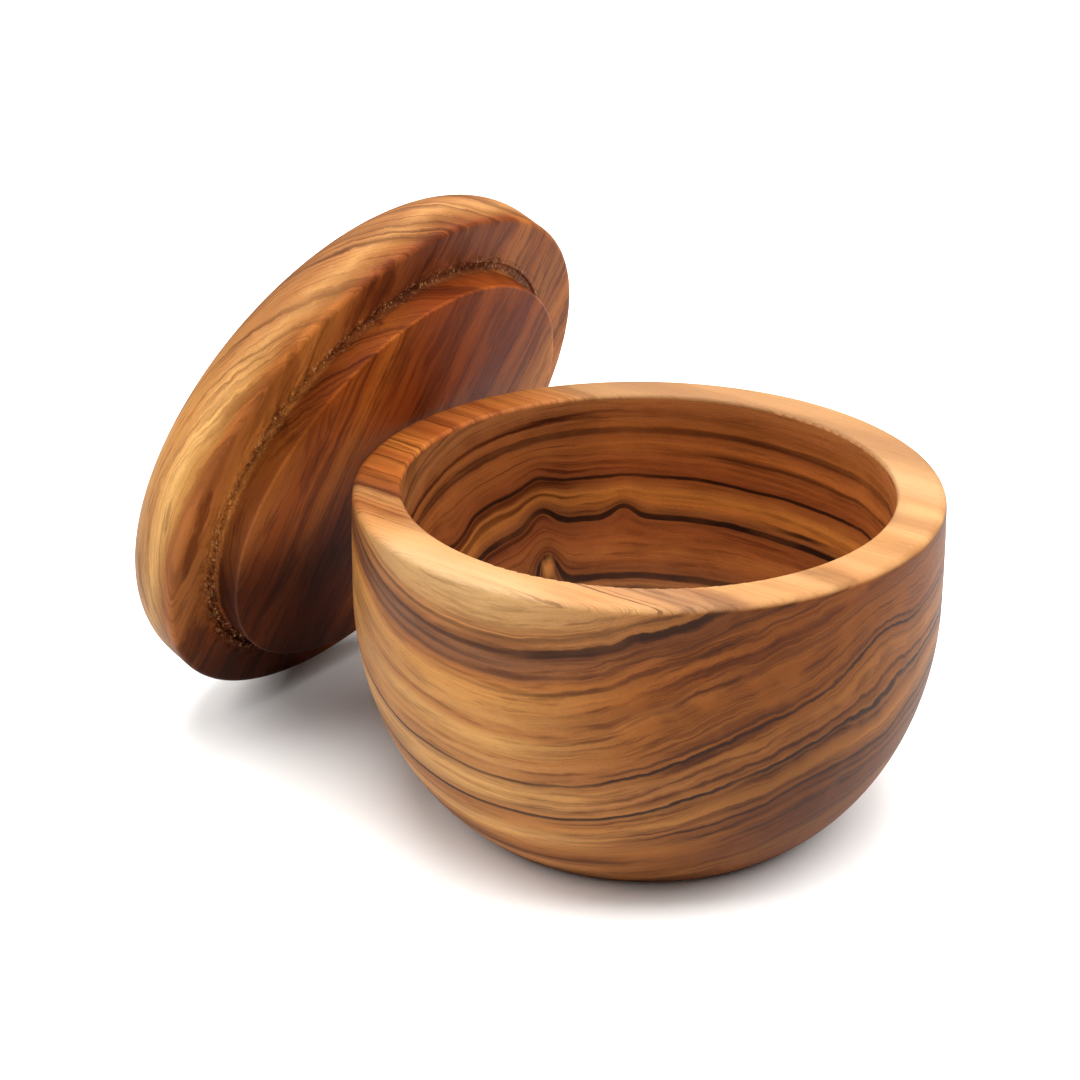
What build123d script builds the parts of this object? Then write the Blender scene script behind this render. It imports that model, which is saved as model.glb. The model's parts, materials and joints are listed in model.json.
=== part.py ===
from build123d import *
import os
from math import acos, cos, degrees, radians, sin

# A lidded bowl for shaving soap, turned from two blanks of olive wood: the bowl, and a domed lid
# whose spigot drops into the bowl's mouth. Millimetres, +Z up. The origin is the centre of the
# bowl's flat base. The lid stands on its lower edge on the bowl's -X side and leans over towards
# the bowl, with the face of its spigot at the rim.

# Bowl, outside
BOWL_HEIGHT = 58.5
RIM_RADIUS = 50.0
BELLY_RADIUS = 50.45      # the widest ring, a little under the rim
BELLY_DROP = 19.0         # from the rim down to the widest ring
BASE_RADIUS = 33.0        # the flat that the bowl stands on
UNDERCUT_RADIUS = 15.0    # centre of the ellipse that carries the belly in to the base

# Bowl, inside
MOUTH_RADIUS = 41.8
MOUTH_DEPTH = 17.0        # how far the mouth's wall goes straight down from the rim
FLOOR_RADIUS = 14.0       # the flat middle of the bowl's floor
FLOOR_THICKNESS = 9.0

# Bowl, edges
RIM_OUTER_ROUND = 1.2
RIM_INNER_ROUND = 0.8
BASE_ROUND = 1.0

# Lid, with its underside at height 0 and its dome up
LID_RADIUS = 52.0
LID_THICKNESS = 17.6      # underside to the top of the dome
DOME_RISE = 3.5           # how far the dome's middle stands above its side's corner
SHOULDER_ROUND = 9.7
LID_EDGE_ROUND = 1.0
SPIGOT_CLEARANCE = 0.5    # all round, in the mouth
SPIGOT_DEPTH = 5.3
SPIGOT_EDGE_ROUND = 0.7
ROOT_GROOVE_WIDTH = 1.6   # the tool's groove round the spigot's root
ROOT_GROOVE_DEPTH = 0.5

# How the lid stands
LEAN_DEGREES = 67.3       # from level
RIM_GAP = 0.3             # between the spigot's face and the rim


def turned(outline):
    """The solid that an outline in (radius, height) sweeps out round the Z axis."""
    return revolve(Plane.XZ * make_face(outline), Axis.Z)


def ring_edges(solid, radius, height):
    """The circular edges of a turned solid at one radius and height."""
    def is_there(edge):
        point = edge @ 0
        off_radius = abs((point.X**2 + point.Y**2) ** 0.5 - radius)
        return off_radius < 0.01 and abs(point.Z - height) < 0.01

    return solid.edges().filter_by(GeomType.CIRCLE).filter_by(is_there)


def ellipse_bend(centre, half_width, half_height, end_degrees):
    """An ellipse's arc that comes up from end_degrees below its widest point to that point."""
    return EllipticalCenterArc(centre, half_width, half_height, -end_degrees, arc_size=end_degrees)


def bowl_outside():
    """The blank's outside, with no hollow in it yet."""
    belly_height = BOWL_HEIGHT - BELLY_DROP
    half_width = BELLY_RADIUS - UNDERCUT_RADIUS
    cut_angle = acos((BASE_RADIUS - UNDERCUT_RADIUS) / half_width)
    half_height = belly_height / sin(cut_angle)
    bend = ellipse_bend((UNDERCUT_RADIUS, belly_height), half_width, half_height, degrees(cut_angle))
    wall = TangentArc(bend @ 1, (RIM_RADIUS, BOWL_HEIGHT), tangent=(0, 1))
    base = Line((0, 0), bend @ 0)
    top = Line(wall @ 1, (0, BOWL_HEIGHT))
    axis = Line((0, BOWL_HEIGHT), (0, 0))
    return turned(base + bend + wall + top + axis)


def bowl_hollow():
    """The space that is turned out of the blank: a straight mouth over a rounded well."""
    well_height = BOWL_HEIGHT - MOUTH_DEPTH
    half_width = MOUTH_RADIUS - FLOOR_RADIUS
    bend = ellipse_bend((FLOOR_RADIUS, well_height), half_width, well_height - FLOOR_THICKNESS, 90)
    wall = Line(bend @ 1, (MOUTH_RADIUS, BOWL_HEIGHT))
    floor = Line((0, FLOOR_THICKNESS), bend @ 0)
    top = Line(wall @ 1, (0, BOWL_HEIGHT))
    axis = Line((0, BOWL_HEIGHT), (0, FLOOR_THICKNESS))
    return turned(floor + bend + wall + top + axis)


def make_bowl():
    bowl = bowl_outside() - bowl_hollow()
    bowl = fillet(ring_edges(bowl, RIM_RADIUS, BOWL_HEIGHT), RIM_OUTER_ROUND)
    bowl = fillet(ring_edges(bowl, MOUTH_RADIUS, BOWL_HEIGHT), RIM_INNER_ROUND)
    return fillet(ring_edges(bowl, BASE_RADIUS, 0), BASE_ROUND)


def lid_blank():
    """The lid's domed disc, with square corners."""
    corner_height = LID_THICKNESS - DOME_RISE
    underside = Line((0, 0), (LID_RADIUS, 0))
    side = Line((LID_RADIUS, 0), (LID_RADIUS, corner_height))
    dome = TangentArc((0, LID_THICKNESS), (LID_RADIUS, corner_height), tangent=(1, 0))
    axis = Line((0, LID_THICKNESS), (0, 0))
    return turned(underside + side + dome + axis)


def make_lid():
    """The lid lying level, with its underside at height 0 and its spigot below."""
    corner_height = LID_THICKNESS - DOME_RISE
    spigot_radius = MOUTH_RADIUS - SPIGOT_CLEARANCE
    lid = lid_blank()
    lid = fillet(ring_edges(lid, LID_RADIUS, corner_height), SHOULDER_ROUND)
    lid = fillet(ring_edges(lid, LID_RADIUS, 0), LID_EDGE_ROUND)
    spigot = Pos(0, 0, -SPIGOT_DEPTH / 2) * Cylinder(spigot_radius, SPIGOT_DEPTH)
    spigot = fillet(ring_edges(spigot, spigot_radius, -SPIGOT_DEPTH), SPIGOT_EDGE_ROUND)
    groove = Cylinder(spigot_radius + ROOT_GROOVE_WIDTH, 2 * ROOT_GROOVE_DEPTH)
    groove -= Cylinder(spigot_radius, 2 * ROOT_GROOVE_DEPTH)
    return lid + spigot - groove


def lean(lid):
    """Stand the level lid on its lower edge, leaning over to the rim."""
    tilt = radians(LEAN_DEGREES)
    edge_centre = LID_RADIUS - LID_EDGE_ROUND
    height = edge_centre * sin(tilt) + LID_EDGE_ROUND * (1 - cos(tilt))
    rim_centre_radius = RIM_RADIUS - RIM_OUTER_ROUND
    rim_centre_height = BOWL_HEIGHT - RIM_OUTER_ROUND
    rim_reach = rim_centre_radius * sin(tilt) + rim_centre_height * cos(tilt) + RIM_OUTER_ROUND
    distance = (rim_reach + RIM_GAP + SPIGOT_DEPTH - height * cos(tilt)) / sin(tilt)
    return Pos(-distance, 0, height) * Rot(0, -LEAN_DEGREES, 0) * lid


os.makedirs("parts", exist_ok=True)
pieces = {"bowl": make_bowl(), "lid": lean(make_lid())}
for name, piece in pieces.items():
    export_step(piece, f"parts/{name}.step")
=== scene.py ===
"""Looks of a turned olive-wood shaving mug: a footless bowl with its lid leaning on the rim."""
import json
import math
import random

import bpy
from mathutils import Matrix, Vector


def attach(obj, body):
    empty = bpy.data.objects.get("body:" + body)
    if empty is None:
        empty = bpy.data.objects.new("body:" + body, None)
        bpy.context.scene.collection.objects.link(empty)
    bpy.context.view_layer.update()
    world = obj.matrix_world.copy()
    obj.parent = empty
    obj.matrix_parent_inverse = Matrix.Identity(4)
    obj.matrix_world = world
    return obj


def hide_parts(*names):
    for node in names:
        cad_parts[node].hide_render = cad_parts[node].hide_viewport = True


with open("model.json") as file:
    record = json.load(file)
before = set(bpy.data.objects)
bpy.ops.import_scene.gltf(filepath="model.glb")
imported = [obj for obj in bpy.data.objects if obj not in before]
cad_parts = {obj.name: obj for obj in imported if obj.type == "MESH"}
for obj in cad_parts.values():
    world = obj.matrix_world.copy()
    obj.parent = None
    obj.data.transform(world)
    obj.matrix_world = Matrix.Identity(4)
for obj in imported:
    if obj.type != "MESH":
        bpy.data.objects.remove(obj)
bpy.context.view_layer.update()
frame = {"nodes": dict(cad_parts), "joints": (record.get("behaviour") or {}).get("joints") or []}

MM = 0.001  # metres in a millimetre

# ---------------------------------------------------------------- view and light
CAMERA_AIM = (-0.01447, -0.01118, 0.04766)
CAMERA_AZIMUTH = -52.32
CAMERA_HEIGHT_ANGLE = 24.08
CAMERA_DISTANCE = 0.3957
CAMERA_LENS = 77.06
SENSOR_WIDTH = 36.0

LIGHT_AIM = (0.0, 0.0, 0.04)
SOFTBOX_SIZE = 0.8
SOFTBOX_DISTANCE = 1.1
SOFTBOXES = (  # name, degrees right of the camera, degrees above the floor, watts
    ("softbox_top", 0.0, 86.0, 15.6),
    ("softbox_front", 0.0, 60.0, 3.8),
    ("softbox_left", -90.0, 38.7, 6.4),
    ("softbox_left_back", -135.0, 38.0, 4.8),
    ("softbox_back", 180.0, 42.0, 4.8),
    ("softbox_right", 90.0, 46.0, 11.0),
)
WORLD_STRENGTH = 0.13
FLOOR_RADIUS = 0.85
FLOOR_SIDES = 96
FLOOR_COLOUR = (0.94, 0.93, 0.91)


def srgb(red, green, blue):
    """Linear colour of an 8-bit display colour, with alpha."""
    def linear(level):
        share = level / 255
        return share / 12.92 if share <= 0.04045 else ((share + 0.055) / 1.055) ** 2.4
    return (linear(red), linear(green), linear(blue), 1.0)


# ---------------------------------------------------------------- node helper
class Graph:
    """Adds nodes to one material, so that a pattern reads as arithmetic."""

    def __init__(self, name):
        self.material = bpy.data.materials.new(name)
        self.material.use_nodes = True
        self.tree = self.material.node_tree
        self.shader = self.tree.nodes["Principled BSDF"]

    def feed(self, socket, value):
        if hasattr(value, "is_output"):
            self.tree.links.new(value, socket)
        else:
            socket.default_value = value

    def math(self, operation, *values, clamp=False):
        node = self.tree.nodes.new("ShaderNodeMath")
        node.operation = operation
        node.use_clamp = clamp
        for socket, value in zip(node.inputs, values):
            self.feed(socket, value)
        return node.outputs[0]

    def add(self, *values):
        total = values[0]
        for value in values[1:]:
            total = self.math("ADD", total, value)
        return total

    def times(self, *values):
        product = values[0]
        for value in values[1:]:
            product = self.math("MULTIPLY", product, value)
        return product

    def vector(self, operation, a, b=None, scale=None):
        node = self.tree.nodes.new("ShaderNodeVectorMath")
        node.operation = operation
        self.feed(node.inputs[0], a)
        if b is not None:
            self.feed(node.inputs[1], b)
        if scale is not None:
            self.feed(node.inputs["Scale"], scale)
        return node.outputs["Value" if operation in ("LENGTH", "DOT_PRODUCT", "DISTANCE") else "Vector"]

    def split(self, vector):
        node = self.tree.nodes.new("ShaderNodeSeparateXYZ")
        self.feed(node.inputs[0], vector)
        return node.outputs[0], node.outputs[1], node.outputs[2]

    def join(self, x, y, z):
        node = self.tree.nodes.new("ShaderNodeCombineXYZ")
        for socket, value in zip(node.inputs, (x, y, z)):
            self.feed(socket, value)
        return node.outputs[0]

    def step(self, value, low, high, start=0.0, end=1.0):
        """A smooth step from start, at low, to end, at high."""
        node = self.tree.nodes.new("ShaderNodeMapRange")
        node.interpolation_type = "SMOOTHSTEP"
        for socket, number in zip(node.inputs, (value, low, high, start, end)):
            self.feed(socket, number)
        return node.outputs[0]

    def noise(self, place, size, detail=2.0, roughness=0.5, seed=0.0):
        """Noise about zero, from about -1 to 1, with features of the given size in mm."""
        stretch = (1 / size[0], 1 / size[1], 1 / size[2])
        scaled = self.vector("MULTIPLY", place, stretch)
        moved = self.vector("ADD", scaled, (seed * 7.31, seed * 3.77, seed * 5.13))
        node = self.tree.nodes.new("ShaderNodeTexNoise")
        self.feed(node.inputs["Vector"], moved)
        self.feed(node.inputs["Scale"], 1.0)
        self.feed(node.inputs["Detail"], detail)
        self.feed(node.inputs["Roughness"], roughness)
        return self.math("MULTIPLY_ADD", node.outputs["Fac"], 4.0, -2.0)

    def ramp(self, value, low, high, stops):
        """Colour by value, from stops of (value, colour)."""
        share = self.tree.nodes.new("ShaderNodeMapRange")
        for socket, number in zip(share.inputs, (value, low, high, 0.0, 1.0)):
            self.feed(socket, number)
        node = self.tree.nodes.new("ShaderNodeValToRGB")
        node.color_ramp.interpolation = "LINEAR"
        elements = node.color_ramp.elements
        elements[0].position = (stops[0][0] - low) / (high - low)
        elements[0].color = stops[0][1]
        elements[1].position = (stops[-1][0] - low) / (high - low)
        elements[1].color = stops[-1][1]
        for place, colour in stops[1:-1]:
            element = elements.new((place - low) / (high - low))
            element.color = colour
        self.feed(node.inputs[0], share.outputs[0])
        return node.outputs[0]

    def mix(self, share, a, b, blend="MIX"):
        node = self.tree.nodes.new("ShaderNodeMix")
        node.data_type = "RGBA"
        node.blend_type = blend
        self.feed(node.inputs[0], share)
        self.feed(node.inputs[6], a)
        self.feed(node.inputs[7], b)
        return node.outputs[2]

    def bump_at(self, place, centre, radii, height):
        """A smooth hill in space: height at centre, gone beyond about twice the radii."""
        offset = self.vector("SUBTRACT", place, centre)
        scaled = self.vector("MULTIPLY", offset, (1 / radii[0], 1 / radii[1], 1 / radii[2]))
        squared = self.vector("DOT_PRODUCT", scaled, scaled)
        return self.times(self.math("EXPONENT", self.times(squared, -1.0)), height)

    def line(self, layer, centre, half_width, fade_in, fade_out, strength):
        """A dark growth line: full within half_width of centre, fading to both sides."""
        inner = self.step(layer, centre - half_width - fade_in, centre - half_width)
        outer = self.step(layer, centre + half_width, centre + half_width + fade_out, 1.0, 0.0)
        return self.times(inner, outer, strength)

    def darkest(self, *values):
        total = values[0]
        for value in values[1:]:
            total = self.math("MAXIMUM", total, value)
        return total


# ---------------------------------------------------------------- wood in general
VEIN_COLOUR = srgb(38, 18, 9)
DARKEN = (0.34, 0.25, 0.21, 1.0)
LIGHTEN = (1.16, 1.14, 1.08, 1.0)
BOWL_SHEEN = 0.1
LID_SHEEN = 0.05
TONE_LEVEL = 1.05


def place_in_mm(graph):
    node = graph.tree.nodes.new("ShaderNodeTexCoord")
    return graph.vector("MULTIPLY", node.outputs["Object"], (1 / MM, 1 / MM, 1 / MM))


def growth_streaks(graph, layer, place, thickness, low, high, seed):
    """Thin soft growth lines that follow the layers and come and go along them."""
    slow = graph.vector("MULTIPLY", place, (1 / 80, 1 / 60, 1 / 60))
    lined = graph.vector("ADD", graph.join(graph.times(layer, 1 / thickness), 0.0, 0.0), slow)
    return graph.step(graph.noise(lined, (1, 1, 1), 3.0, 0.62, seed), low, high)


def growth_strokes(graph, layer, along, thickness, length, low, high, seed):
    """Short feathered strokes that follow the layers."""
    lined = graph.join(graph.times(layer, 1 / thickness), graph.times(along, 1 / length), 0.0)
    return graph.step(graph.noise(lined, (1, 1, 1), 3.0, 0.6, seed), low, high)


def colour_ramp(graph, value, stops):
    colours = [(at, srgb(*colour)) for at, colour in stops]
    return graph.ramp(value, stops[0][0], stops[-1][0], colours)


def oiled_surface(graph, tone, place, sheen):
    """Fibre flecks, fine pores, satin oil and the fine relief of sanded wood, fibres along the first axis."""
    flecks = graph.noise(place, (7.0, 0.3, 0.3), 3.0, 0.7, 31)
    mottle = graph.noise(place, (14.0, 5.0, 5.0), 2.0, 0.5, 32)
    pores = graph.step(graph.noise(place, (1.8, 0.16, 0.16), 1.0, 0.5, 33), 0.62, 1.1)
    shade = graph.add(TONE_LEVEL, graph.times(flecks, 0.12), graph.times(mottle, 0.07), graph.times(pores, -0.2))
    graph.feed(graph.shader.inputs["Base Color"], graph.vector("SCALE", tone, scale=shade))
    rough = graph.add(0.5, graph.times(flecks, 0.05), graph.times(pores, 0.12))
    graph.feed(graph.shader.inputs["Roughness"], rough)
    graph.shader.inputs["Specular IOR Level"].default_value = sheen
    bump = graph.tree.nodes.new("ShaderNodeBump")
    bump.inputs["Strength"].default_value = 0.5
    bump.inputs["Distance"].default_value = 0.05 * MM
    graph.feed(bump.inputs["Height"], graph.add(graph.times(flecks, 0.6), graph.times(pores, -1.0)))
    graph.feed(graph.shader.inputs["Normal"], bump.outputs[0])


# ---------------------------------------------------------------- bowl wood
# The trunk's middle runs along X, under and behind the bowl, so the growth rings
# are cylinders around it, and a ring's radius tells its colour.
PITH_Y = 28.6
PITH_Z = -91.0

HOLLOW_FLOOR = 14.0  # the hollow's flat floor, and from there a quarter ellipse up to the mouth
HOLLOW_REACH = 27.8
HOLLOW_MIDDLE = 41.5
HOLLOW_DEPTH = 32.5

LEFT_TONES = (
    (100, (132, 78, 38)), (112, (144, 90, 44)), (116, (184, 124, 70)), (117.4, (160, 106, 58)),
    (119, (122, 70, 30)), (120, (130, 77, 35)), (123, (158, 103, 52)),
    (126, (182, 134, 78)), (127, (178, 130, 74)), (129, (158, 104, 53)), (130.4, (152, 98, 49)),
    (131.6, (140, 88, 42)), (133.4, (150, 100, 52)), (134.4, (170, 124, 71)), (136.4, (180, 133, 75)),
    (138, (175, 128, 73)), (139.4, (150, 105, 58)), (141, (152, 101, 54)), (143.4, (165, 115, 65)),
    (144.2, (156, 105, 53)), (146, (176, 127, 71)), (147.2, (183, 136, 77)), (149, (152, 99, 50)),
    (151, (168, 118, 64)), (154.4, (172, 119, 60)), (156.2, (146, 91, 43)), (157.4, (118, 72, 40)),
    (159.4, (116, 74, 46)), (161, (126, 79, 43)), (163, (158, 104, 56)), (164.6, (166, 124, 76)),
    (168, (176, 137, 88)),
)
RIGHT_TONES = (
    (100, (126, 72, 32)), (109, (128, 74, 32)), (111, (134, 86, 40)), (113, (110, 62, 24)),
    (116, (108, 60, 24)), (119, (120, 69, 26)), (121.4, (132, 80, 32)), (123, (118, 71, 30)),
    (125, (116, 66, 28)), (126.4, (140, 88, 42)), (128, (154, 103, 50)), (129.4, (148, 96, 46)),
    (130.6, (124, 76, 33)), (132, (130, 84, 40)), (133, (142, 91, 45)), (134.4, (126, 76, 34)),
    (136, (153, 100, 53)), (137.6, (148, 96, 48)), (139, (130, 80, 36)), (141, (126, 74, 33)),
    (143, (134, 80, 34)), (145, (130, 77, 30)), (147, (130, 75, 29)), (149, (140, 85, 38)),
    (151, (120, 66, 22)), (153, (134, 77, 30)), (155, (126, 72, 28)), (157, (124, 72, 32)),
    (160, (104, 60, 30)), (162, (140, 90, 48)), (168, (164, 120, 74)),
)
BACK_TONES = (
    (100, (102, 58, 26)), (108, (110, 60, 28)), (111, (146, 94, 52)), (113.4, (138, 80, 40)),
    (115.6, (112, 58, 26)), (117.4, (124, 63, 27)), (119, (148, 79, 34)), (121.4, (142, 72, 31)),
    (123.6, (132, 65, 29)), (126.6, (140, 77, 36)), (128, (172, 96, 40)), (130, (188, 110, 46)),
    (131.4, (170, 94, 42)), (133.4, (134, 67, 30)), (135, (152, 77, 35)), (137, (156, 82, 37)),
    (140, (176, 96, 42)), (141.4, (164, 88, 40)), (142.6, (154, 82, 37)), (144, (164, 90, 40)),
    (147, (164, 91, 45)), (149, (176, 103, 52)), (152, (172, 102, 54)), (156, (184, 112, 56)),
    (168, (184, 124, 70)),
)
# The flat rim is cut along the grain, so its stripes are told by Y and by the side.
RIM_TONES = (
    (-50, (182, 152, 108)), (-46, (184, 152, 106)), (-42, (180, 142, 92)), (-39, (164, 122, 78)),
    (-36, (152, 112, 74)), (-33, (150, 110, 72)), (-30.6, (150, 106, 66)), (-28, (176, 132, 81)),
    (-20, (174, 129, 80)), (-17.4, (178, 136, 87)), (-15.2, (153, 111, 66)), (-12.6, (155, 110, 64)),
    (-10, (168, 122, 74)), (-7.4, (182, 137, 88)), (-5, (168, 124, 75)), (-2.4, (178, 134, 84)),
    (1, (162, 118, 69)), (5, (166, 122, 73)), (7.6, (182, 141, 91)), (10.6, (156, 114, 70)),
    (13, (164, 122, 78)), (16.6, (184, 146, 96)), (20, (168, 125, 79)), (23, (180, 138, 93)),
    (28, (184, 148, 102)), (32.4, (172, 134, 90)), (35, (162, 124, 84)), (40, (162, 123, 85)),
    (44, (176, 136, 94)), (50, (184, 146, 102)),
)
RIM_LEFT_TONES = (
    (-42, (176, 128, 76)), (-39.4, (158, 110, 62)), (-37, (142, 88, 45)), (-34.6, (150, 100, 55)),
    (-32.4, (172, 126, 76)), (-30.4, (126, 72, 38)), (-28, (134, 76, 36)), (-25, (166, 98, 44)),
    (-22.4, (158, 90, 38)), (-20, (170, 103, 44)), (-17.4, (148, 78, 34)), (-15, (182, 111, 48)),
    (-12, (189, 118, 52)), (-8, (183, 108, 45)), (-5, (152, 80, 31)), (-2.6, (179, 101, 45)),
    (0, (168, 90, 39)), (3, (182, 106, 48)), (7, (186, 112, 50)), (10, (164, 90, 41)),
    (14, (183, 113, 52)), (17.6, (167, 102, 49)), (22, (171, 112, 58)), (28, (164, 118, 68)),
    (36, (162, 120, 76)),
)


def ring_layer(graph, place):
    """The growth ring's radius in mm at each point, with the waves that the real rings have."""
    x, y, z = graph.split(place)
    across = graph.join(0.0, graph.math("SUBTRACT", y, PITH_Y), graph.math("SUBTRACT", z, PITH_Z))
    radius = graph.vector("LENGTH", across)
    right = graph.step(x, 8.0, 34.0)
    wander = graph.times(graph.noise(place, (48, 22, 22), 1.0, 0.5, 1), 0.4)
    wave_size = graph.math("MULTIPLY_ADD", right, 0.34, 0.24)
    wave = graph.times(graph.noise(place, (13, 6, 6), 2.0, 0.55, 2), wave_size)
    jitter_size = graph.math("MULTIPLY_ADD", right, 0.08, 0.05)
    jitter = graph.times(graph.noise(place, (4.0, 1.1, 1.1), 3.0, 0.62, 3), jitter_size)
    swells = (
        graph.bump_at(place, (15, -47, 32), (14, 16, 22), 1.2),
        graph.bump_at(place, (-30, -42, 42), (10, 20, 24), -1.0),
        graph.bump_at(place, (38, -32, 46), (8, 12, 12), -1.3),
        graph.bump_at(place, (50, -7, 47), (6, 8, 7), -3.2),
        graph.bump_at(place, (50, -4, 29), (9, 9, 8), 2.4),
        graph.bump_at(place, (-37, 18, 37), (3.0, 4.0, 4.4), -3.0),
        graph.bump_at(place, (-27, 31, 35.5), (2.6, 2.6, 4), -1.9),
        graph.bump_at(place, (-38, 18, 45), (3.4, 4.6, 3.4), -1.4),
        graph.bump_at(place, (-42, -1, 36), (6, 5, 6), 2.6),
        graph.bump_at(place, (-35.4, 17.8, 26), (2.6, 3.2, 6.0), -5.4),
    )
    return graph.add(radius, wander, wave, jitter, *swells)


def inside_bowl(graph, x, y, z):
    """1 on the hollow's wall and 0 on the outside, from how far out of the hollow's ellipse a point is."""
    radius = graph.vector("LENGTH", graph.join(x, y, 0.0))
    out = graph.math("MAXIMUM", graph.times(graph.add(radius, -HOLLOW_FLOOR), 1 / HOLLOW_REACH), 0.0)
    down = graph.math("MINIMUM", graph.times(graph.add(z, -HOLLOW_MIDDLE), 1 / HOLLOW_DEPTH), 0.0)
    ellipse = graph.add(graph.times(out, out), graph.times(down, down))
    return graph.step(ellipse, 1.14, 1.05)


def bowl_veins(graph, layer, place, x, front, back):
    """The near-black growth lines outside and inside the bowl."""
    left_line = graph.times(graph.line(layer, 119.0, 0.2, 1.1, 0.5, 0.6), graph.step(x, 30.0, 18.0))
    front_veins = graph.darkest(
        graph.line(layer, 160.7, 0.14, 0.6, 0.25, 0.75),
        graph.times(graph.line(layer, 160.7, 0.4, 0.9, 0.3, 0.95), graph.step(x, 0.0, 16.0)),
        graph.times(graph.line(layer, 159.0, 0.14, 0.3, 0.5, 0.6), graph.step(x, 20.0, -6.0)),
        graph.line(layer, 157.4, 0.1, 0.3, 0.5, 0.45),
        graph.times(graph.line(layer, 162.7, 0.12, 0.4, 0.3, 0.6), graph.step(x, -36.0, -20.0)),
        graph.times(graph.line(layer, 155.2, 0.08, 0.3, 0.3, 0.4), graph.step(x, -12.0, 6.0)),
        graph.line(layer, 140.1, 0.13, 0.45, 0.2, 0.95),
        graph.times(graph.line(layer, 141.3, 0.1, 0.3, 0.3, 0.6), graph.step(x, 20.0, 26.0)),
        graph.line(layer, 132.5, 0.2, 0.5, 0.2, 1.0),
        graph.times(graph.line(layer, 134.4, 0.14, 0.4, 0.2, 0.7), graph.step(x, 30.0, 37.0)),
        graph.times(graph.line(layer, 125.2, 0.16, 0.4, 0.25, 0.9), graph.step(x, 18.0, 32.0)),
        left_line,
        graph.times(graph.line(layer, 119.6, 0.2, 0.9, 0.4, 0.7), graph.step(x, 34.0, 40.0)),
    )
    loop = graph.bump_at(place, (6, 40, 36), (7, 9, 7), 1.0)
    back_veins = graph.darkest(
        graph.line(layer, 150.6, 0.2, 0.5, 0.5, 0.35),
        graph.line(layer, 142.9, 0.34, 0.7, 0.5, 0.6),
        graph.times(graph.line(layer, 138.4, 0.16, 0.35, 0.4, 0.65), graph.step(x, -24.0, -8.0)),
        graph.line(layer, 133.3, 0.22, 0.25, 0.2, 0.93),
        graph.line(layer, 125.3, 0.4, 0.25, 0.5, 1.0),
        graph.times(graph.line(layer, 127.3, 0.2, 0.4, 0.4, 1.0), loop),
        graph.line(layer, 114.9, 0.34, 0.5, 0.5, 0.95),
        graph.line(layer, 112.8, 0.2, 0.4, 0.4, 0.7),
    )
    return graph.add(graph.times(front_veins, front), graph.times(back_veins, back))


def rim_tone(graph, place, x, y):
    """The pale rim, orange on the left, with fine stripes along X."""
    bend = graph.times(graph.noise(place, (26, 7, 7), 2.0, 0.5, 21), 0.8)
    cross = graph.times(graph.noise(place, (5, 1.2, 1.2), 2.0, 0.6, 22), 0.22)
    stripe = graph.add(y, bend, cross)
    orange = graph.times(graph.step(x, -14.0, -27.0), graph.step(y, 36.0, 24.0))
    pale = colour_ramp(graph, stripe, RIM_TONES)
    tone = graph.mix(orange, pale, colour_ramp(graph, stripe, RIM_LEFT_TONES))
    brown_stripes = graph.bump_at(place, (19, -44, 58), (9, 4, 9), 0.75)
    tone = graph.mix(brown_stripes, tone, srgb(172, 122, 72))
    fine = growth_streaks(graph, stripe, place, 0.8, 0.1, 0.45, 23)
    packed = graph.bump_at(place, (22, -41, 58), (17, 8, 9), 0.9)
    depth = graph.add(0.16, packed, graph.times(orange, 0.5))
    tone = graph.mix(1.0, tone, (0.9, 0.82, 0.8, 1.0), "MULTIPLY")
    # Painted shade: the far side of the rim darkened and made less blue in its colour.
    far_rim_shade = graph.step(y, 22.0, 42.0)
    tone = graph.mix(far_rim_shade, tone, (0.84, 0.8, 0.7, 1.0), "MULTIPLY")
    tone = graph.mix(graph.times(fine, depth), tone, DARKEN, "MULTIPLY")
    broad = growth_streaks(graph, stripe, place, 1.7, 0.1, 0.4, 29)
    return graph.mix(graph.times(broad, graph.add(packed, graph.times(orange, 0.6)), 0.8), tone, DARKEN, "MULTIPLY")


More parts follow.
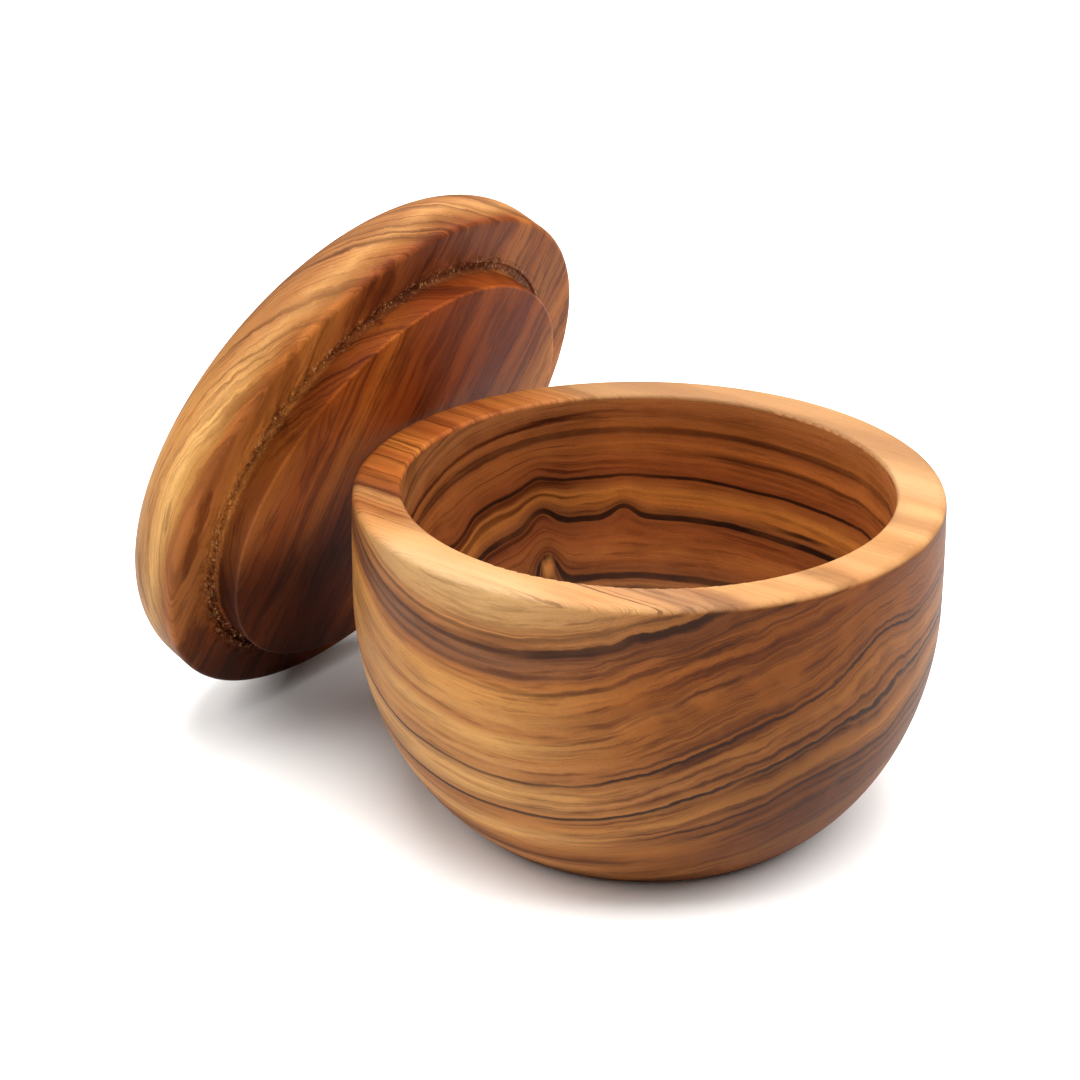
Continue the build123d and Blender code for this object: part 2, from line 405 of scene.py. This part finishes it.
def bowl_wood():
    graph = Graph("olive_bowl")
    place = place_in_mm(graph)
    x, y, z = graph.split(place)
    layer = ring_layer(graph, place)
    back = inside_bowl(graph, x, y, z)
    front = graph.math("SUBTRACT", 1.0, back)
    right = graph.step(x, 2.0, 30.0)
    rim = graph.step(z, 57.4, 58.2)
    below_rim = graph.math("SUBTRACT", 1.0, rim)

    outside = graph.mix(right, colour_ramp(graph, layer, LEFT_TONES), colour_ramp(graph, layer, RIGHT_TONES))
    tone = graph.mix(back, outside, colour_ramp(graph, layer, BACK_TONES))

    feathered = graph.add(0.9, graph.times(right, front, 0.3), graph.times(back, 0.1))
    tone = graph.mix(graph.times(back, 0.9), tone, (1.06, 1.26, 1.36, 1.0), "MULTIPLY")
    patchy = graph.step(graph.noise(place, (18, 6, 6), 2.0, 0.5, 10), -0.7, 0.5)
    # Painted shade: the outside darkened and browned in its colour towards the right, where it turns away from the
    # light.
    painted_shade_right = graph.times(graph.step(x, 20.0, 46.0), front)
    tone = graph.mix(painted_shade_right, tone, (0.66, 0.57, 0.38, 1.0), "MULTIPLY")
    sapwood = graph.times(graph.step(x, 6.0, -20.0), front)
    tone = graph.mix(sapwood, tone, (0.86, 0.85, 0.82, 1.0), "MULTIPLY")
    smoky = graph.times(graph.bump_at(place, (42, -18, 20), (13, 15, 12), 0.75), front)
    tone = graph.mix(smoky, tone, (0.5, 0.44, 0.46, 1.0), "MULTIPLY")
    # Painted shade: the left part of the hollow's wall darkened in its colour, where shade falls inside the bowl;
    # strokes are also deeper there.
    inner_left = graph.times(graph.step(x, -26.0, -36.0), back)
    tone = graph.mix(inner_left, tone, (0.66, 0.66, 0.72, 1.0), "MULTIPLY")
    for thickness, low, depth, seed in ((2.6, 0.0, 0.3, 4), (1.3, 0.05, 0.42, 9), (0.6, 0.1, 0.34, 5), (0.28, 0.1, 0.16, 7)):
        streaks = growth_streaks(graph, layer, place, thickness, low, low + 0.5, seed)
        tone = graph.mix(graph.times(streaks, depth, feathered, patchy), tone, DARKEN, "MULTIPLY")
    stroke_depth = graph.add(0.42, graph.times(right, front, 0.32), graph.times(back, -0.1), graph.times(inner_left, 0.6))
    for thickness, length, seed in ((1.9, 26.0, 25), (1.0, 13.0, 26)):
        strokes = growth_strokes(graph, layer, x, thickness, length, 0.12, 0.75, seed)
        tone = graph.mix(graph.times(strokes, stroke_depth), tone, DARKEN, "MULTIPLY")
    gold = growth_streaks(graph, layer, place, 1.5, 0.0, 0.9, 8)
    tone = graph.mix(graph.times(gold, 0.9), tone, LIGHTEN, "MULTIPLY")

    tone = graph.mix(rim, tone, rim_tone(graph, place, x, y))

    fade = graph.math("MULTIPLY_ADD", graph.noise(place, (22, 9, 9), 2.0, 0.5, 6), 0.35, 0.95, clamp=True)
    on_rim = graph.math("MULTIPLY_ADD", below_rim, 0.65, 0.35)
    veins = graph.times(bowl_veins(graph, layer, place, x, front, back), fade, on_rim)
    tone = graph.mix(veins, tone, VEIN_COLOUR)

    torn = graph.times(graph.noise(place, (2.5, 2.5, 5), 2.0, 0.6, 24), 0.22)
    wedge = graph.add(graph.bump_at(place, (-35.0, 17.4, 25.0), (1.6, 1.9, 4.6), 1.0), torn)
    tone = graph.mix(graph.times(graph.step(wedge, 0.25, 0.95), 0.55), tone, srgb(206, 132, 66))
    crack = graph.bump_at(place, (47, -12, 20), (4, 0.8, 7), 0.55)
    tone = graph.mix(crack, tone, srgb(74, 46, 34))
    oiled_surface(graph, tone, place, BOWL_SHEEN)
    return graph.material


# ---------------------------------------------------------------- lid
LID_RADIUS = 52.0
LID_EDGE_ROUND = 1.0
LID_THICKNESS = 17.6
DOME_RISE = 3.5
SHOULDER_ROUND = 9.7
SPIGOT_RADIUS = 41.3
SPIGOT_DEPTH = 5.3
SPIGOT_EDGE_ROUND = 0.5
GROOVE_RADIUS = 42.9
GROOVE_DEPTH = 0.5
TORN_OUTSIDE = 44.6
TORN_HEIGHT = 0.34
LID_SEGMENTS = 720

UNDER_TONES = (
    (-53, (156, 94, 46)), (-50, (158, 94, 46)), (-46, (160, 96, 44)), (-42, (172, 106, 49)),
    (-36, (170, 103, 47)), (-33, (160, 94, 42)), (-30, (142, 76, 34)), (-26, (136, 73, 33)),
    (-22, (126, 66, 31)), (-18, (106, 54, 28)), (-14.4, (132, 68, 33)), (-10, (134, 70, 37)),
    (-6, (137, 75, 38)), (2, (131, 69, 34)), (7, (140, 76, 35)), (10, (168, 98, 45)),
    (14, (178, 110, 51)), (18, (155, 87, 32)), (22, (152, 85, 32)), (26, (168, 100, 42)),
    (30, (166, 104, 46)), (33.6, (144, 80, 34)), (38, (176, 110, 50)), (42, (165, 99, 44)),
    (53, (165, 101, 47)),
)
SPIGOT_TONES = (
    (-42, (146, 84, 40)), (-39, (152, 88, 42)), (-35, (140, 72, 31)), (-31, (158, 84, 37)),
    (-27, (158, 84, 37)), (-23.4, (174, 97, 43)), (-20, (166, 90, 40)), (-17, (152, 76, 34)),
    (-13, (148, 72, 31)), (-9, (141, 67, 29)), (-6, (150, 75, 34)), (-3, (158, 80, 37)),
    (2.6, (170, 89, 42)), (5, (148, 74, 34)), (8.4, (160, 84, 37)), (11, (142, 68, 27)),
    (15, (124, 55, 24)), (18, (146, 74, 32)), (20, (164, 92, 44)), (22, (140, 72, 34)),
    (24.6, (156, 86, 42)), (27, (150, 82, 40)), (30, (182, 114, 58)), (34, (190, 124, 66)),
    (38, (168, 104, 56)), (42, (172, 108, 58)),
)
SIDE_TONES = (
    (0, (150, 92, 44)), (1.6, (152, 96, 46)), (3.2, (170, 120, 63)), (5.6, (202, 154, 92)),
    (7.4, (184, 134, 78)), (9, (166, 115, 62)), (11, (164, 115, 60)), (13, (152, 104, 54)),
    (15, (144, 98, 52)), (18, (166, 118, 66)),
)


def arc(centre, radius, start, end, steps):
    """Points on an arc of a (radius, height) profile, angles in degrees."""
    points = []
    for step in range(steps + 1):
        turn = math.radians(start + (end - start) * step / steps)
        points.append((centre[0] + radius * math.cos(turn), centre[1] + radius * math.sin(turn)))
    return points


def straight(start, end, steps):
    """Points from start up to, but without, end."""
    return [
        (start[0] + (end[0] - start[0]) * step / steps, start[1] + (end[1] - start[1]) * step / steps)
        for step in range(steps)
    ]


def lid_profile():
    """The lid's outline in mm: along the spigot's face, out to the edge, up and over the dome."""
    face_edge = (SPIGOT_RADIUS - SPIGOT_EDGE_ROUND, -SPIGOT_DEPTH)
    spigot_round = arc((face_edge[0], face_edge[1] + SPIGOT_EDGE_ROUND), SPIGOT_EDGE_ROUND, -90, 0, 5)
    points = straight((0.0, -SPIGOT_DEPTH), face_edge, 12) + spigot_round
    points += straight(points[-1], (SPIGOT_RADIUS, GROOVE_DEPTH), 7)[1:]
    points += straight((SPIGOT_RADIUS, GROOVE_DEPTH), (GROOVE_RADIUS, GROOVE_DEPTH), 5)
    points += straight((GROOVE_RADIUS, GROOVE_DEPTH), (GROOVE_RADIUS, 0.0), 2)
    points += straight((GROOVE_RADIUS, 0.0), (TORN_OUTSIDE, 0.0), 6)
    edge = (LID_RADIUS - LID_EDGE_ROUND, 0.0)
    points += straight((TORN_OUTSIDE, 0.0), edge, 5)
    points += arc((edge[0], LID_EDGE_ROUND), LID_EDGE_ROUND, -90, 0, 6)
    dome_radius = (LID_RADIUS ** 2 + DOME_RISE ** 2) / (2 * DOME_RISE)
    dome_centre = LID_THICKNESS - dome_radius
    shoulder_out = LID_RADIUS - SHOULDER_ROUND
    shoulder_up = dome_centre + math.sqrt((dome_radius - SHOULDER_ROUND) ** 2 - shoulder_out ** 2)
    turn = math.degrees(math.atan2(shoulder_up - dome_centre, shoulder_out))
    points += arc((shoulder_out, shoulder_up), SHOULDER_ROUND, 0, turn, 22)
    return points + arc((0.0, dome_centre), dome_radius, turn, 90, 16)[1:]


def torn_ring(profile):
    """Height changes in mm by (ring, segment): the tear-out left at the spigot's root."""
    chance = random.Random(41)
    heights = {}
    for ring, (radius, height) in enumerate(profile):
        if not (SPIGOT_RADIUS <= radius <= TORN_OUTSIDE and -1.0 < height <= GROOVE_DEPTH):
            continue
        fading = 1 - (radius - SPIGOT_RADIUS) / (TORN_OUTSIDE - SPIGOT_RADIUS)
        last = 0.0
        for segment in range(LID_SEGMENTS):
            turn = 2 * math.pi * segment / LID_SEGMENTS
            last = 0.45 * last + chance.gauss(0, 1)
            patchy = 0.55 - 0.45 * math.sin(turn)
            limited = max(-2.0, min(2.0, last))
            heights[ring, segment] = TORN_HEIGHT * limited * patchy * (0.25 + 0.75 * fading)
    return heights


def lid_frame():
    """The lid's own centre and axes: up its slope, across it, and out through its dome."""
    dome = Vector(frame["joints"][0]["axis"]).normalized()
    width = Vector((0, 1, 0))
    slope = width.cross(dome)
    points = [vertex.co for vertex in frame["nodes"]["lid"].data.vertices]
    heights = [point.dot(dome) for point in points]
    slopes = [point.dot(slope) for point in points]
    centre = slope * (min(slopes) + max(slopes)) / 2 + dome * (min(heights) + SPIGOT_DEPTH * MM)
    return centre, slope, width, dome


def add_lid():
    """The turned lid, with the torn grain that the plain CAD lid doesn't have."""
    centre, slope, width, dome = lid_frame()
    profile = lid_profile()
    torn = torn_ring(profile)
    corners = [centre + dome * (profile[0][1] * MM)]
    rings = profile[1:-1]
    for ring, (radius, height) in enumerate(rings, 1):
        for segment in range(LID_SEGMENTS):
            turn = 2 * math.pi * segment / LID_SEGMENTS
            outward = slope * math.cos(turn) + width * math.sin(turn)
            lift = height + torn.get((ring, segment), 0.0)
            corners.append(centre + outward * (radius * MM) + dome * (lift * MM))
    corners.append(centre + dome * (profile[-1][1] * MM))

    def corner(ring, segment):
        return 1 + ring * LID_SEGMENTS + segment % LID_SEGMENTS

    faces = []
    last = len(rings) - 1
    for segment in range(LID_SEGMENTS):
        faces.append((0, corner(0, segment + 1), corner(0, segment)))
        faces.append((len(corners) - 1, corner(last, segment), corner(last, segment + 1)))
        for ring in range(last):
            faces.append((
                corner(ring, segment), corner(ring, segment + 1),
                corner(ring + 1, segment + 1), corner(ring + 1, segment),
            ))
    mesh = bpy.data.meshes.new("lid_turned")
    mesh.from_pydata(corners, [], faces)
    mesh.polygons.foreach_set("use_smooth", [True] * len(mesh.polygons))
    mesh.materials.append(lid_wood())
    lid = bpy.data.objects.new("lid_turned", mesh)
    bpy.context.scene.collection.objects.link(lid)
    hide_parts("lid")
    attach(lid, "lid")


def lid_wood():
    graph = Graph("olive_lid")
    centre, slope, width, dome = lid_frame()
    offset = graph.vector("SUBTRACT", place_in_mm(graph), centre / MM)
    along = graph.vector("DOT_PRODUCT", offset, slope)
    across = graph.vector("DOT_PRODUCT", offset, width)
    height = graph.vector("DOT_PRODUCT", offset, dome)
    place = graph.join(along, across, height)
    radius = graph.vector("LENGTH", graph.join(along, across, 0.0))

    wander = graph.times(graph.noise(place, (34, 13, 13), 1.0, 0.5, 11), 1.4)
    wave = graph.times(graph.noise(place, (12, 4.5, 4.5), 2.0, 0.55, 12), 0.8)
    jitter = graph.times(graph.noise(place, (4.0, 1.0, 1.0), 3.0, 0.62, 13), 0.3)
    waves = graph.add(wander, wave, jitter)
    tilt = graph.times(along, -0.18)
    band = graph.add(across, tilt, waves)
    layer = graph.add(band, graph.times(height, 1.6))

    face = graph.step(height, -0.4, -1.2)
    body = graph.step(height, 0.4, 2.2)
    side_band = graph.add(height, graph.times(waves, 0.8))
    under = colour_ramp(graph, band, UNDER_TONES)
    tone = graph.mix(face, under, colour_ramp(graph, band, SPIGOT_TONES))
    tone = graph.mix(body, tone, colour_ramp(graph, side_band, SIDE_TONES))

    shaded = graph.math("SUBTRACT", 1.0, body)
    # Painted shade: the low-left part of the underside and spigot face, which faces the bowl, darkened in its colour.
    low_left_shade = graph.times(graph.step(along, 8.0, -16.0), graph.step(across, 8.0, -16.0), shaded)
    tone = graph.mix(graph.times(low_left_shade, 0.9), tone, (0.42, 0.36, 0.36, 1.0), "MULTIPLY")
    tone = graph.mix(graph.times(low_left_shade, face), tone, (0.38, 0.34, 0.34, 1.0), "MULTIPLY")
    # Painted shade: the upper end of the lid's side darkened in its colour.
    top_side_shade = graph.times(graph.step(along, 14.0, 42.0), body)
    tone = graph.mix(top_side_shade, tone, (0.66, 0.57, 0.56, 1.0), "MULTIPLY")
    # Painted shade: the upper part of the underside slightly darkened in its colour.
    high_flange_shade = graph.times(graph.step(along, -6.0, 16.0), shaded)
    tone = graph.mix(high_flange_shade, tone, (0.82, 0.78, 0.76, 1.0), "MULTIPLY")
    # The upper part of the spigot's face made less blue in its colour, painted to cancel the bluish reflection that
    # falls on it.
    high_face = graph.times(graph.step(along, 0.0, 20.0), face)
    tone = graph.mix(high_face, tone, (1.0, 0.95, 0.68, 1.0), "MULTIPLY")
    glow = graph.times(graph.bump_at(place, (16, -13, -5), (14, 7, 7), 0.8), shaded)
    tone = graph.mix(glow, tone, (1.5, 1.75, 1.6, 1.0), "MULTIPLY")
    # Painted shade: the lid darkened in its colour towards its lower end, where it comes down to the floor, most of
    # all on its side.
    low_side_shade = graph.times(graph.step(along, 14.0, -24.0), body)
    tone = graph.mix(low_side_shade, tone, (0.62, 0.6, 0.58, 1.0), "MULTIPLY")
    low_end_shade = graph.step(along, -26.0, -42.0)
    tone = graph.mix(low_end_shade, tone, (0.46, 0.38, 0.38, 1.0), "MULTIPLY")
    low_rim_shade = graph.times(graph.step(along, -20.0, -38.0), body)
    tone = graph.mix(low_rim_shade, tone, (0.6, 0.52, 0.52, 1.0), "MULTIPLY")
    # Within that painted shade, the flange's outer edge is brought back to a lighter wood colour.
    low_edge = graph.times(graph.step(across, -42.0, -47.0), low_left_shade)
    tone = graph.mix(graph.times(low_edge, 0.8), tone, srgb(147, 90, 46))

    for thickness, low, depth, seed in ((3.6, 0.1, 0.4, 14), (1.8, 0.15, 0.44, 20), (0.8, 0.2, 0.32, 15), (0.35, 0.2, 0.12, 17)):
        streaks = growth_streaks(graph, layer, place, thickness, low, low + 0.5, seed)
        tone = graph.mix(graph.times(streaks, depth), tone, DARKEN, "MULTIPLY")
    for thickness, length, seed in ((3.4, 34.0, 27), (1.5, 16.0, 28)):
        strokes = growth_strokes(graph, layer, along, thickness, length, 0.1, 0.6, seed)
        tone = graph.mix(graph.times(strokes, 0.5), tone, DARKEN, "MULTIPLY")
    gold = growth_streaks(graph, layer, place, 1.8, 0.0, 0.9, 18)
    tone = graph.mix(gold, tone, LIGHTEN, "MULTIPLY")

    rough_edge = graph.times(graph.noise(place, (7, 2.5, 2.5), 3.0, 0.6, 16), 0.35)
    patches = (  # up the slope, across, length, width, darkness
        (44.0, -18.0, 7.5, 4.0, 0.85), (1.0, -48.4, 12.0, 2.0, 0.85), (29.0, -36.0, 10.0, 2.4, 0.6),
        (31.0, -14.0, 8.0, 5.0, 0.5), (46.0, 3.0, 6.0, 2.0, 0.5), (38.0, 33.0, 8.0, 2.0, 0.55),
        (30.0, 14.0, 9.0, 2.6, 0.5), (14.0, -29.0, 10.0, 3.5, 0.5), (-28.0, -41.0, 9.0, 4.5, 0.9),
    )
    for up, sideways, length, breadth, depth in patches:
        hill = graph.add(graph.bump_at(place, (up, sideways, -1), (length, breadth, 9), 1.0), rough_edge)
        patch = graph.times(graph.step(hill, 0.35, 0.75), depth, shaded)
        tone = graph.mix(patch, tone, (0.46, 0.35, 0.31, 1.0), "MULTIPLY")

    wall = graph.times(graph.step(height, -5.1, -4.6), graph.step(height, -0.2, -0.8))
    tone = graph.mix(graph.times(wall, 0.8), tone, (0.62, 0.56, 0.52, 1.0), "MULTIPLY")
    root = graph.times(graph.step(radius, 41.2, 41.5), graph.step(radius, 44.6, 42.6), graph.step(height, -1.2, -0.5))
    root = graph.times(root, shaded)
    crumbs = graph.noise(place, (1.0, 0.5, 0.6), 2.0, 0.6, 19)
    tone = graph.mix(graph.times(root, 0.45), tone, (0.5, 0.4, 0.34, 1.0), "MULTIPLY")
    tone = graph.mix(graph.times(root, graph.step(crumbs, 0.25, 0.6), 0.8), tone, srgb(200, 148, 96))
    oiled_surface(graph, tone, place, LID_SHEEN)
    return graph.material


# ---------------------------------------------------------------- stage
def point_at(thing, target):
    direction = Vector(target) - thing.location
    thing.rotation_euler = direction.to_track_quat("-Z", "Y").to_euler()


def add_camera():
    data = bpy.data.cameras.new("camera")
    data.lens = CAMERA_LENS
    data.sensor_width = SENSOR_WIDTH
    data.clip_start = 0.01
    camera = bpy.data.objects.new("camera", data)
    bpy.context.scene.collection.objects.link(camera)
    flat = math.cos(math.radians(CAMERA_HEIGHT_ANGLE))
    turn = math.radians(CAMERA_AZIMUTH)
    away = Vector((flat * math.cos(turn), flat * math.sin(turn), math.sin(math.radians(CAMERA_HEIGHT_ANGLE))))
    camera.location = Vector(CAMERA_AIM) + away * CAMERA_DISTANCE
    point_at(camera, CAMERA_AIM)
    bpy.context.scene.camera = camera


def add_softbox(name, turn, lift, power):
    """A square softbox, turned to the right of the view by turn and lifted by lift degrees."""
    data = bpy.data.lights.new(name, "AREA")
    data.shape = "SQUARE"
    data.size = SOFTBOX_SIZE
    data.energy = power
    light = bpy.data.objects.new(name, data)
    bpy.context.scene.collection.objects.link(light)
    heading = math.radians(CAMERA_AZIMUTH + turn)
    level = math.cos(math.radians(lift))
    away = Vector((level * math.cos(heading), level * math.sin(heading), math.sin(math.radians(lift))))
    light.location = Vector(LIGHT_AIM) + away * SOFTBOX_DISTANCE
    point_at(light, LIGHT_AIM)


def add_floor():
    mesh = bpy.data.meshes.new("floor")
    corners = []
    for side in range(FLOOR_SIDES):
        turn = 2 * math.pi * side / FLOOR_SIDES
        corners.append((FLOOR_RADIUS * math.cos(turn), FLOOR_RADIUS * math.sin(turn), 0.0))
    mesh.from_pydata(corners, [], [tuple(range(FLOOR_SIDES))])
    floor = bpy.data.objects.new("floor", mesh)
    bpy.context.scene.collection.objects.link(floor)
    graph = Graph("floor_paper")
    graph.feed(graph.shader.inputs["Base Color"], (*FLOOR_COLOUR, 1.0))
    graph.feed(graph.shader.inputs["Roughness"], 0.9)
    mesh.materials.append(graph.material)


def add_world():
    """White seen directly, and a weak fill light on the object."""
    world = bpy.data.worlds.new("studio")
    world.use_nodes = True
    nodes = world.node_tree.nodes
    links = world.node_tree.links
    background = nodes["Background"]
    background.inputs["Color"].default_value = (1, 1, 1, 1)
    path = nodes.new("ShaderNodeLightPath")
    strength = nodes.new("ShaderNodeMapRange")
    strength.inputs["To Min"].default_value = WORLD_STRENGTH
    strength.inputs["To Max"].default_value = 1.0
    links.new(path.outputs["Is Camera Ray"], strength.inputs["Value"])
    links.new(strength.outputs[0], background.inputs["Strength"])
    bpy.context.scene.world = world


add_camera()
add_world()
add_floor()
for name, turn, lift, power in SOFTBOXES:
    add_softbox(name, turn, lift, power)
bpy.context.scene.view_settings.view_transform = "Standard"
frame["nodes"]["bowl"].material_slots[0].material = bowl_wood()
add_lid()
